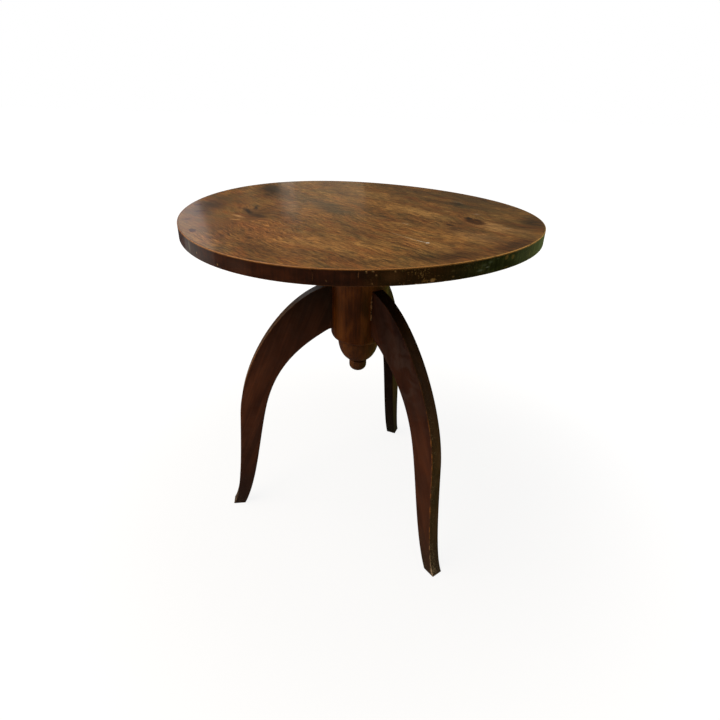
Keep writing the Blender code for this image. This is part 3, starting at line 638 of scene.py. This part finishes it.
# What lies on the top: broad soft shades, stains that follow the grain, marks with ragged
# rims, and scratches. In millimetres from its centre: place, half-length, half-width, turn
# in degrees, colour, strength, and the share of it that is solid.
TOP_STAINS = (
    (60, 45, 160, 36, -42, "b07c3e", 0.55, 0.1),
    (-20, 110, 90, 22, -44, "a8783c", 0.5, 0.1),
    (120, -140, 90, 40, -46, "a07036", 0.45, 0.1),
    (-150, -125, 120, 56, -62, "935c30", 0.58, 0.2),
    (-60, -180, 90, 30, -44, "a8743a", 0.5, 0.1),
    (-100, -235, 90, 22, -30, "5e3a1c", 0.6, 0.1),
    (-210, -100, 60, 26, -62, "6c4224", 0.5, 0.1),
    (-95, 95, 120, 30, -56, "5c5038", 0.5, 0.1),
    (-42, 8, 84, 34, -54, "4e4634", 0.6, 0.1),
    (20, -32, 70, 18, -42, "5c4a30", 0.45, 0.1),
    (178, 92, 60, 26, -60, "34321e", 0.75, 0.1),
    (130, 118, 70, 20, -50, "453a20", 0.6, 0.2),
    (90, 190, 110, 26, -50, "5a4626", 0.5, 0.1),
    (215, 60, 60, 22, -62, "5a4a28", 0.5, 0.1),
    (190, -172, 46, 16, -50, "46341e", 0.5, 0.2),
    (100, 10, 100, 30, -44, "c09252", 0.6, 0.1),
    (-45, -205, 80, 30, -40, "b48044", 0.5, 0.1),
    (85, -190, 80, 30, -40, "b07e44", 0.5, 0.1),
    (215, -95, 80, 30, -56, "bc8e56", 0.7, 0.2),
    (235, -130, 44, 16, -54, "54401f", 0.5, 0.1),
    (150, -110, 80, 16, -44, "5a4226", 0.55, 0.2),
    (112, -50, 56, 10, -40, "4a2e16", 0.6, 0.1),
    (264, -52, 30, 14, -66, "352a12", 0.55, 0.1),
    (70, -246, 44, 14, 10, "40351c", 0.65, 0.1),
    (22, -274, 30, 9, 5, "3e2c16", 0.65, 0.1),
    (-20, -262, 60, 14, 4, "6a4420", 0.5, 0.1),
)
TOP_SHADES = (
    # The first darkens the wood under the sheen at the far left; the second is a painted reflection, the
    # dark band between two reflected window panels at the back left.
    (-262, 20, 90, 44, 84, "2a211c", 0.6, 0.1),
    (-180, 165, 110, 44, 99, "2c200c", 0.85, 0.1),
    (-168, -30, 70, 34, 70, "4a2e12", 0.4, 0.1),
    (-215, -150, 70, 34, -55, "4a2c18", 0.35, 0.1),
    (-75, 165, 80, 36, 100, "a07e44", 0.3, 0.1),
    (10, 262, 120, 30, -3, "5c5434", 0.35, 0.1),
    (25, 150, 90, 50, -45, "b2864a", 0.45, 0.1),
    (-80, -20, 80, 40, -40, "b27a3c", 0.42, 0.1),
    (215, 150, 120, 55, -50, "3c3a24", 0.55, 0.1),
    (120, 205, 110, 36, -28, "44402a", 0.5, 0.1),
    (240, 20, 130, 90, 90, "62522c", 0.4, 0.1),
    (280, -50, 74, 30, 76, "241c10", 0.7, 0.1),
    (236, -78, 60, 26, -60, "3a2a12", 0.45, 0.1),
    (216, -188, 90, 26, 46, "3c2616", 0.65, 0.1),
    (112, -250, 80, 34, 22, "362410", 0.7, 0.1),
    (-150, -190, 90, 40, -40, "5a3a1e", 0.25, 0.1),
    (170, -150, 60, 40, -45, "c09058", 0.5, 0.1),
)
TOP_MARKS = (
    (182, 112, 26, 8, -60, "8a8266", 0.35, 0.1),
    (140, -76, 10, 6, -25, "24120a", 0.9, 0.3),
    (184, -49, 44, 22, -70, "8a5a2e", 0.6, 0.2),
    (184, -49, 31, 18, -70, "4a2a06", 0.92, 0.5),
    (186, -52, 13, 7, -70, "70440e", 0.6, 0.2),
    (177, -27, 13, 9, -60, "342206", 0.85, 0.3),
    (-190, -18, 38, 8, -66, "1c150c", 0.95, 0.2),
    (-182, 10, 30, 6, -82, "241c10", 0.85, 0.1),
    (-204, -2, 22, 5, -50, "2c2012", 0.7, 0.1),
    (-168, -46, 38, 13, -48, "38220e", 0.75, 0.1),
    (-200, -52, 25, 6, -38, "cf9a62", 0.75, 0.2),
    (-199, -73, 15, 5, 2, "c89056", 0.75, 0.2),
    (-160, 10, 40, 4, 60, "4a3820", 0.55, 0.1),
    (-205, -10, 24, 5, -80, "a8743e", 0.45, 0.1),
    (-285, 18, 8, 7, 0, "4c1e06", 1, 0.6),
    (-270, -24, 13, 6, 20, "4c2008", 1, 0.5),
    (-276, -76, 7, 5, 0, "4c220a", 0.8, 0.4),
    (-247, -138, 12, 6, -50, "421a04", 1, 0.6),
    (69, -71, 9, 3, 0, "b39a78", 0.55, 0.2),
    (72, -78, 5, 2, 20, "b39a78", 0.5, 0.2),
    (196, 6, 10, 3.5, 0, "c4ad8e", 0.6, 0.2),
    (150, 24, 12, 5, -30, "b98a50", 0.5, 0.2),
    (226, -93, 9, 3.5, 0, "b9a080", 0.55, 0.2),
    (44, -185, 3.5, 2.5, 0, "5a1c10", 0.85, 0.5),
)
TOP_SCRATCHES = (
    (52, -140, 16, 1.2, -47, "bda078", 0.75, 0.3),
    (71, -163, 26, 1.2, -47, "cfb690", 0.85, 0.3),
    (84, -177, 11, 1.3, -47, "e2d4bd", 0.9, 0.4),
    (92, -184, 3.6, 2.8, 0, "fbf3e6", 1, 0.5),
)
# Knots that the grain bends round: place, reach, and push across the grain.
TOP_KNOTS = ((-190, -28, 62, 24), (183, -50, 55, 20), (-42, 6, 85, -16), (140, -76, 30, 9),
             (90, -255, 50, 9))
# Where the grain curls, and where it is painted quieter to stand in for the sheen that veils it at the
# left: place, reaches and turn.
CURLY_PATCH = (-150, -125, 120, 80, -50)
SHEEN_VEIL_PATCH = (-250, -40, 200, 110, 80)


def oval(tree, where, x, y, long, wide, turn, strength, solid):
    """Cover of an oval patch, in millimetres and degrees: strongest inside, fading to its rim."""
    local = add(tree, "Mapping", {
        "Vector": where, "Location": (x / 1000, y / 1000, 0), "Rotation": (0, 0, math.radians(turn)),
        "Scale": (long / 1000, wide / 1000, 1)}, vector_type="TEXTURE")
    away = add(tree, "VectorMath", {0: local}, operation="LENGTH")
    return add(tree, "MapRange", {0: away, "From Min": 1, "From Max": solid, "To Max": strength},
               interpolation_type="SMOOTHSTEP")


def patched(tree, colour, where, patches):
    """A colour with oval patches of other colours laid over it in turn."""
    for *oval_place, tint, strength, solid in patches:
        cover = oval(tree, where, *oval_place, strength, solid)
        colour = add(tree, "Mix", {0: cover, 1: colour, 2: linear(tint)}, data_type="RGBA")
    return colour


def shifted(tree, where, scale, reach, detail=3):
    """A place pushed about by noise of a given scale per metre and reach in metres."""
    push = add(tree, "TexNoise", {"Vector": where, "Scale": scale, "Detail": detail})
    pushed = add(tree, "VectorMath", {0: push.outputs["Color"], 1: (2 * reach, 2 * reach, 0), 2: where},
                 operation="MULTIPLY_ADD")
    return add(tree, "VectorMath", {0: pushed, 1: (reach, reach, 0)}, operation="SUBTRACT")


def top_wood():
    """Walnut-stained board under satin varnish: fine wavering grain that bends round knots,
    smoky and golden stain in patches. Fibres are drawn coarser than life to show."""
    skin, tree = new_skin("walnut_stained_top")
    spot = add(tree, "TexCoord", {}).outputs["Object"]
    flat = add(tree, "VectorMath", {0: spot, 1: (1, 1, 0)}, operation="MULTIPLY")
    bent = shifted(tree, flat, 6, 0.016, 2)
    bent = shifted(tree, bent, 60, 0.0012, 2)
    curly = shifted(tree, bent, 45, 0.01, 2)
    curl = oval(tree, flat, *CURLY_PATCH, 1, 0.3)
    bent = add(tree, "Mix", {0: curl, 1: bent, 2: curly}, data_type="VECTOR")
    grain = add(tree, "Mapping", {"Vector": bent, "Rotation": (0, 0, math.radians(GRAIN_TURN))})
    for x, y, reach, push in TOP_KNOTS:
        swell = oval(tree, flat, x, y, reach, reach, 0, push / 1000, 0)
        swell = add(tree, "CombineXYZ", {"Y": swell})
        grain = add(tree, "VectorMath", {0: grain, 1: swell}, operation="ADD")
    broad = streaks(tree, grain, (8, 19, 1), 5, 0.62)
    line = streaks(tree, grain, (26, 160, 1), 4, 0.72)
    fibre = streaks(tree, grain, (60, 420, 1), 2, 0.7)
    swathe = streaks(tree, grain, (12, 64, 1), 4, 0.7)
    hue = streaks(tree, grain, (20, 42, 1), 4, 0.65)
    colour = add(tree, "ValToRGB", {0: broad},
                 stops=((0.32, "68441f"), (0.7, "a8783e"), (0.44, "7e562a"), (0.56, "926632")))
    for end, most, tint in ((0.68, 0.55, "8c4c20"), (0.32, 0.5, "6c5c34")):
        cover = add(tree, "MapRange", {0: hue, "From Min": 0.5, "From Max": end, "To Max": most})
        colour = add(tree, "Mix", {0: cover, 1: colour, 2: linear(tint)}, data_type="RGBA")
    colour = patched(tree, colour, flat, TOP_SHADES)
    # Stains run far along the lines of the grain, marks a little, and noise frays them both.
    for patches, run, scale, reach, detail in ((TOP_STAINS, 0.07, 24, 0.02, 4),
                                               (TOP_MARKS, 0.012, 80, 0.004, 3)):
        frayed = add(tree, "Mapping", {"Vector": line.outputs["Color"], "Location": (-run / 2, -run / 2, 0),
                                       "Scale": (run, run, 0)})
        frayed = add(tree, "VectorMath", {0: shifted(tree, flat, scale, reach, detail), 1: frayed},
                     operation="ADD")
        colour = patched(tree, colour, frayed, patches)
    strands = ((line, 0.36, 0.64, 0.66, 1.48), (fibre, 0.35, 0.65, 0.5, 1.5),
               (swathe, 0.36, 0.64, 0.86, 1.1))
    depth = 1
    for strand, start, end, darkest, palest in strands:
        strand = add(tree, "MapRange", {0: strand, "From Min": start, "From Max": end,
                                        "To Min": darkest, "To Max": palest})
        depth = add(tree, "Math", {0: depth, 1: strand}, operation="MULTIPLY")
    # Painted reflection: the grain is quietened where the sheen lies at the left.
    sheen_veil = oval(tree, flat, *SHEEN_VEIL_PATCH, 0.6, 0.3)
    depth = add(tree, "Mix", {0: sheen_veil, 1: depth, 2: 0.96})
    colour = add(tree, "VectorMath", {0: colour, "Scale": depth}, operation="SCALE")
    colour = patched(tree, colour, flat, TOP_SCRATCHES)
    sheen = add(tree, "MapRange", {0: broad, "To Min": 0.3, "To Max": 0.42})
    varnish(tree, colour, sheen, line, relief=0.06, specular=0.2, coat=0.42, coat_roughness=0.13,
            depth=0.0005)
    return skin


def under_wood():
    """The board's bare underside: planed, thinly stained and dusty."""
    skin, tree = new_skin("bare_underside")
    spot = add(tree, "TexCoord", {}).outputs["Object"]
    grain = add(tree, "Mapping", {"Vector": spot, "Rotation": (0, 0, math.radians(GRAIN_TURN))})
    streak = streaks(tree, grain, (9, 240, 1), 4)
    colour = add(tree, "ValToRGB", {0: streak}, stops=((0.35, "4a3220"), (0.65, "7a583a")))
    bump = add(tree, "Bump", {"Strength": 0.25, "Distance": 0.0004, "Height": streak})
    wood = add(tree, "BsdfPrincipled", {"Base Color": colour, "Roughness": 0.7, "Normal": bump})
    add(tree, "OutputMaterial", {"Surface": wood})
    return skin


rings = [BOARD_RADIUS * step / BOARD_RINGS for step in range(BOARD_RINGS + 1)]
outline = [(radius, TOP_Z) for radius in rings] + [(radius, UNDERSIDE_Z) for radius in reversed(rings)]
shape = turned(outline, BOARD_STEPS)
for face in shape.faces:
    face.material_index = 0 if face.normal.z > 0.5 else 1
for point in shape.verts:
    point.co.z += wind(point.co)
tabletop = object_from(shape, "round_top_board", top_wood(), under_wood())
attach(tabletop, "root")
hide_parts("tabletop")


# Edge band: a 2 mm strip of dark-stained wood bent round the board and glued, butted at
# the front. Its arrises are rubbed through to pale wood and its face is chipped and scuffed.
BAND_INNER, BAND_OUTER, BAND_ARRIS, BAND_TOP_RING = 0.298, 0.3, 0.0006, 0.0007
BAND_RING_DROPS = (0.5, 1, 1.6, 2.4, 3.4, 5, 7, 9, 11, 13, 15, 16.6, 17.8, 18.8, 19.6, 20.3)
BAND_JOINT, BAND_JOINT_GAP = 259, 0.0004
BAND_STEPS, BAND_CUTS, BAND_LONG_EDGE = 360, 4, 0.003
TOP_WEAR_REACH, LOW_WEAR_REACH, CHIP_REACH = 0.0018, 0.0012, 0.0008
MM_PER_DEGREE = math.radians(1) * BAND_OUTER * 1000
BAND_GREEN_START, BAND_GREEN_FULL = 0.15, 0.235
BAND_GREEN_END, BAND_GREEN_GONE = 0.52, 0.7
# Chips: azimuth in degrees, then height on the strip, half-length, half-height and depth in mm.
BAND_CHIPS = ((221.3, 8.8, 1.5, 1.3, 0.3), (231.2, 4.3, 1.3, 1.1, 0.3), (271.4, 19.2, 1.3, 1.7, 0.4),
              (272.9, 19.4, 1.9, 1.1, 0.4), (278, 18.6, 1.5, 1.2, 0.3), (262.3, 7, 0.9, 0.9, 0.2),
              (273.7, 14, 1, 0.9, 0.2), (272.8, 4, 0.9, 0.9, 0.2), (287, 3.4, 3.2, 2.4, 0.5),
              (283.2, 0.6, 2.6, 1.2, 0.6), (290.6, 0.4, 3, 1, 0.5), (300.5, 0.4, 2.2, 0.9, 0.4),
              (44, 20.8, 2.4, 1.6, 0.4), (118, 0.8, 3.2, 1.6, 0.5), (161, 21, 2.2, 1.2, 0.4))
# Marks on its face, and painted sheen at its left end: azimuth, height, half-length, half-height in mm,
# colour, strength, solid share.
BAND_MARKS = (
    (259, 10.5, 0.55, 9.5, "8a5c34", 0.75, 0.3),
    (269.6, 14.5, 0.55, 5, "a06c42", 0.8, 0.3),
    (266.2, 12, 0.45, 8, "5a3820", 0.5, 0.2),
    (262, 16, 10, 4, "4a2310", 0.35, 0.1),
    # Painted reflections: a pale band of window sheen and a dark band beside it at the left end.
    (216.6, 12, 5, 14, "7c7664", 0.6, 0.1),
    (220.6, 12, 4, 14, "241c12", 0.6, 0.1),
    (277.5, 12, 18, 11, "623c1e", 0.6, 0.1),
    # Painted sheen: a lighter patch where the left of the rim reflects the window.
    (239, 11, 30, 16, "5c3e30", 0.35, 0.1),
    (287.2, 4.2, 4.5, 2.8, "b98a42", 0.85, 0.4),
    (285.2, 4, 6, 1.8, "946a2c", 0.75, 0.3),
    (309.3, 16.3, 4.6, 4.4, "a8843a", 0.85, 0.4),
    (312.1, 14.6, 4, 4, "a8843a", 0.8, 0.4),
    (309.6, 3, 8, 1.3, "92742e", 0.65, 0.3),
    (292.3, 12.5, 4, 2.4, "6a5630", 0.6, 0.2),
    (297.5, 8, 5, 2, "4c4a28", 0.6, 0.2),
    (301.5, 13, 7, 2.2, "6c775a", 0.6, 0.1),
    (300.3, 7, 7, 2.2, "84927a", 0.8, 0.1),
    (302.6, 9.5, 5, 1.4, "98a68c", 0.75, 0.1),
    (303.4, 15.5, 6, 2.6, "6e7c60", 0.7, 0.1),
    (306, 18, 5, 1.4, "6a7658", 0.6, 0.1),
    (309, 10, 8, 9, "14160a", 0.5, 0.1),
    (296.2, 16.5, 5, 1.6, "56604a", 0.45, 0.1),
    (292.5, 5, 3, 1.4, "9a7840", 0.6, 0.2),
    (281, 16, 2.4, 1.2, "8a6234", 0.55, 0.2),
    (284.5, 9, 1.6, 1, "a07a44", 0.6, 0.2),
    (321.3, 9, 2, 6, "97883c", 0.65, 0.2),
    (317, 12, 1.6, 9, "5a6a30", 0.6, 0.2),
    (324.5, 12, 2.4, 9, "7d7a34", 0.5, 0.2),
    (330, 12, 9, 11, "5a7460", 0.6, 0.1),
)


def band_wood():
    """Dark-stained, varnished strip: nearly black brown in front, green-black at the right,
    with faint upright streaks, pale flecks where the finish is knocked off, worn arrises."""
    skin, tree = new_skin("dark_stained_edge_band")
    strip = add(tree, "Attribute", {}, attribute_name="strip").outputs["Vector"]
    streak = streaks(tree, strip, (240, 18, 1), 3, 0.6)
    cloud = streaks(tree, strip, (24, 60, 1), 3)
    both = add(tree, "Mix", {0: 0.4, 1: cloud, 2: streak})
    brown = add(tree, "ValToRGB", {0: both}, stops=((0.36, "261203"), (0.66, "4e250a"), (0.5, "381905")))
    green = add(tree, "ValToRGB", {0: both}, stops=((0.38, "12140a"), (0.66, "5e6434"), (0.5, "2a2e16")))
    along = add(tree, "SeparateXYZ", {0: strip}).outputs["X"]
    greened = add(tree, "MapRange", {0: along, "From Min": BAND_GREEN_START, "From Max": BAND_GREEN_FULL},
                  interpolation_type="SMOOTHSTEP")
    browned = add(tree, "MapRange", {0: along, "From Min": BAND_GREEN_GONE, "From Max": BAND_GREEN_END},
                  interpolation_type="SMOOTHSTEP")
    greened = add(tree, "Math", {0: greened, 1: browned}, operation="MULTIPLY")
    colour = add(tree, "Mix", {0: greened, 1: brown, 2: green}, data_type="RGBA")
    fleck = streaks(tree, strip, (430, 400, 1), 2)
    zone = add(tree, "TexNoise", {"Vector": strip, "Scale": 26, "Detail": 2})
    fleck = add(tree, "Mix", {0: 0.45, 1: fleck, 2: zone})
    fleck = add(tree, "MapRange", {0: fleck, "From Min": 0.555, "From Max": 0.59, "To Max": 0.85})
    # The scuffs begin to the right of the joint and thin out further round.
    for start, end, before, after in ((0.06, 0.15, 0, 1), (0.13, 0.18, 1, 0.2)):
        scuffed = add(tree, "MapRange", {0: along, "From Min": start, "From Max": end,
                                         "To Min": before, "To Max": after})
        fleck = add(tree, "Math", {0: fleck, 1: scuffed}, operation="MULTIPLY")
    colour = add(tree, "Mix", {0: fleck, 1: colour, 2: linear("9a7840")}, data_type="RGBA")
    marks = [((turn - BAND_JOINT) * MM_PER_DEGREE, rise, long, tall, 0, *finish)
             for turn, rise, long, tall, *finish in BAND_MARKS]
    colour = patched(tree, colour, shifted(tree, strip, 420, 0.0009), marks)
    worn = add(tree, "Attribute", {}, attribute_name="worn").outputs["Fac"]
    broken = add(tree, "TexNoise", {"Vector": strip, "Scale": 90, "Detail": 3})
    broken = add(tree, "MapRange", {0: broken, "From Min": 0.2, "From Max": 0.46})
    rubbed = add(tree, "Math", {0: worn, 1: broken}, operation="MULTIPLY")
    lighter = add(tree, "MapRange", {0: along, "From Min": 0.05, "From Max": 0.32})
    bared = add(tree, "Mix", {0: lighter, 1: linear("b4783e"), 2: linear("f2b464")}, data_type="RGBA")
    colour = add(tree, "Mix", {0: rubbed, 1: colour, 2: bared}, data_type="RGBA")
    chip = add(tree, "Attribute", {}, attribute_name="chip").outputs["Fac"]
    colour = add(tree, "Mix", {0: chip, 1: colour, 2: linear("b8905c")}, data_type="RGBA")
    varnish(tree, colour, 0.4, streak, relief=0.08, specular=0.22, coat=0.4, coat_roughness=0.1)
    return skin


low, high = UNDERSIDE_Z + BAND_ARRIS, TOP_Z - BAND_ARRIS
outline = [(BAND_INNER, TOP_Z), (BAND_INNER + BAND_TOP_RING, TOP_Z)]
outline += arc((BAND_OUTER - BAND_ARRIS, high), (BAND_ARRIS, BAND_ARRIS), 90, 0, 4)
outline += [(BAND_OUTER, high - drop / 1000) for drop in BAND_RING_DROPS]
outline += arc((BAND_OUTER - BAND_ARRIS, low), (BAND_ARRIS, BAND_ARRIS), 0, -90, 4)
outline += [(BAND_INNER, UNDERSIDE_Z)]
shape = bmesh.new()
points = [shape.verts.new((radius, 0, height)) for radius, height in outline]
lines = [shape.edges.new(pair) for pair in zip(points, points[1:] + points[:1])]
half_gap = BAND_JOINT_GAP / BAND_OUTER / 2
swing(shape, BAND_JOINT + math.degrees(half_gap))
bmesh.ops.spin(shape, geom=points + lines, cent=(0, 0, 0), axis=(0, 0, 1), dvec=(0, 0, 0),
               angle=math.tau - 2 * half_gap, steps=BAND_STEPS, use_merge=False, use_duplicate=False)
long_edges = [edge for edge in shape.edges if abs(edge.verts[0].co.z - edge.verts[1].co.z) < MERGE
              and edge.calc_length() > BAND_LONG_EDGE]
bmesh.ops.subdivide_edges(shape, edges=long_edges, cuts=BAND_CUTS, use_grid_fill=True)
# The cuts lie on straight chords, so each new point goes out to its ring again.
for point in shape.verts:
    flat_length = math.hypot(point.co.x, point.co.y)
    ring = min((radius for radius, height in outline), key=lambda radius: abs(radius - flat_length))
    point.co.xy *= ring / flat_length
bmesh.ops.holes_fill(shape, edges=[edge for edge in shape.edges if edge.is_boundary], sides=0)
bmesh.ops.recalc_face_normals(shape, faces=shape.faces)
worn, chip = [shape.verts.layers.float.new(name) for name in ("worn", "chip")]
strip = shape.verts.layers.float_vector.new("strip")
for point in shape.verts:
    radius = math.hypot(point.co.x, point.co.y)
    turn = (math.atan2(point.co.y, point.co.x) - math.radians(BAND_JOINT) + math.pi) % math.tau - math.pi
    along, rise = turn * BAND_OUTER, point.co.z - UNDERSIDE_Z
    point[strip] = (along, rise, BAND_OUTER - radius)
    to_top = math.hypot(BAND_OUTER - radius, TOP_Z - point.co.z)
    to_low = math.hypot(BAND_OUTER - radius, rise)
    # The arrises are rubbed most in front and to the right of it.
    rubbing = 0.55 + 0.45 * max(0, math.cos(turn)) + 0.35 * math.exp(-((turn - 0.95) / 0.45) ** 2)
    point[worn] = max(rubbing * (1.25 - to_top / TOP_WEAR_REACH),
                      0.4 * rubbing * (1 - to_low / LOW_WEAR_REACH), 0)
    for chip_turn, height, long, tall, depth in BAND_CHIPS:
        off = ((math.degrees(turn) + BAND_JOINT - chip_turn + 180) % 360 - 180) * MM_PER_DEGREE
        bite = clamped(1.5 * (1 - math.hypot(off / long, (rise * 1000 - height) / tall)))
        if bite and BAND_OUTER - radius < CHIP_REACH:
            point[chip] = max(point[chip], bite)
            point.co.xy *= 1 - depth * bite / 1000 / radius
for point in shape.verts:
    point.co.z += wind(point.co)
band = object_from(shape, "edge_banding", band_wood(), sharp=50)
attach(band, "root")
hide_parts("edge_band")
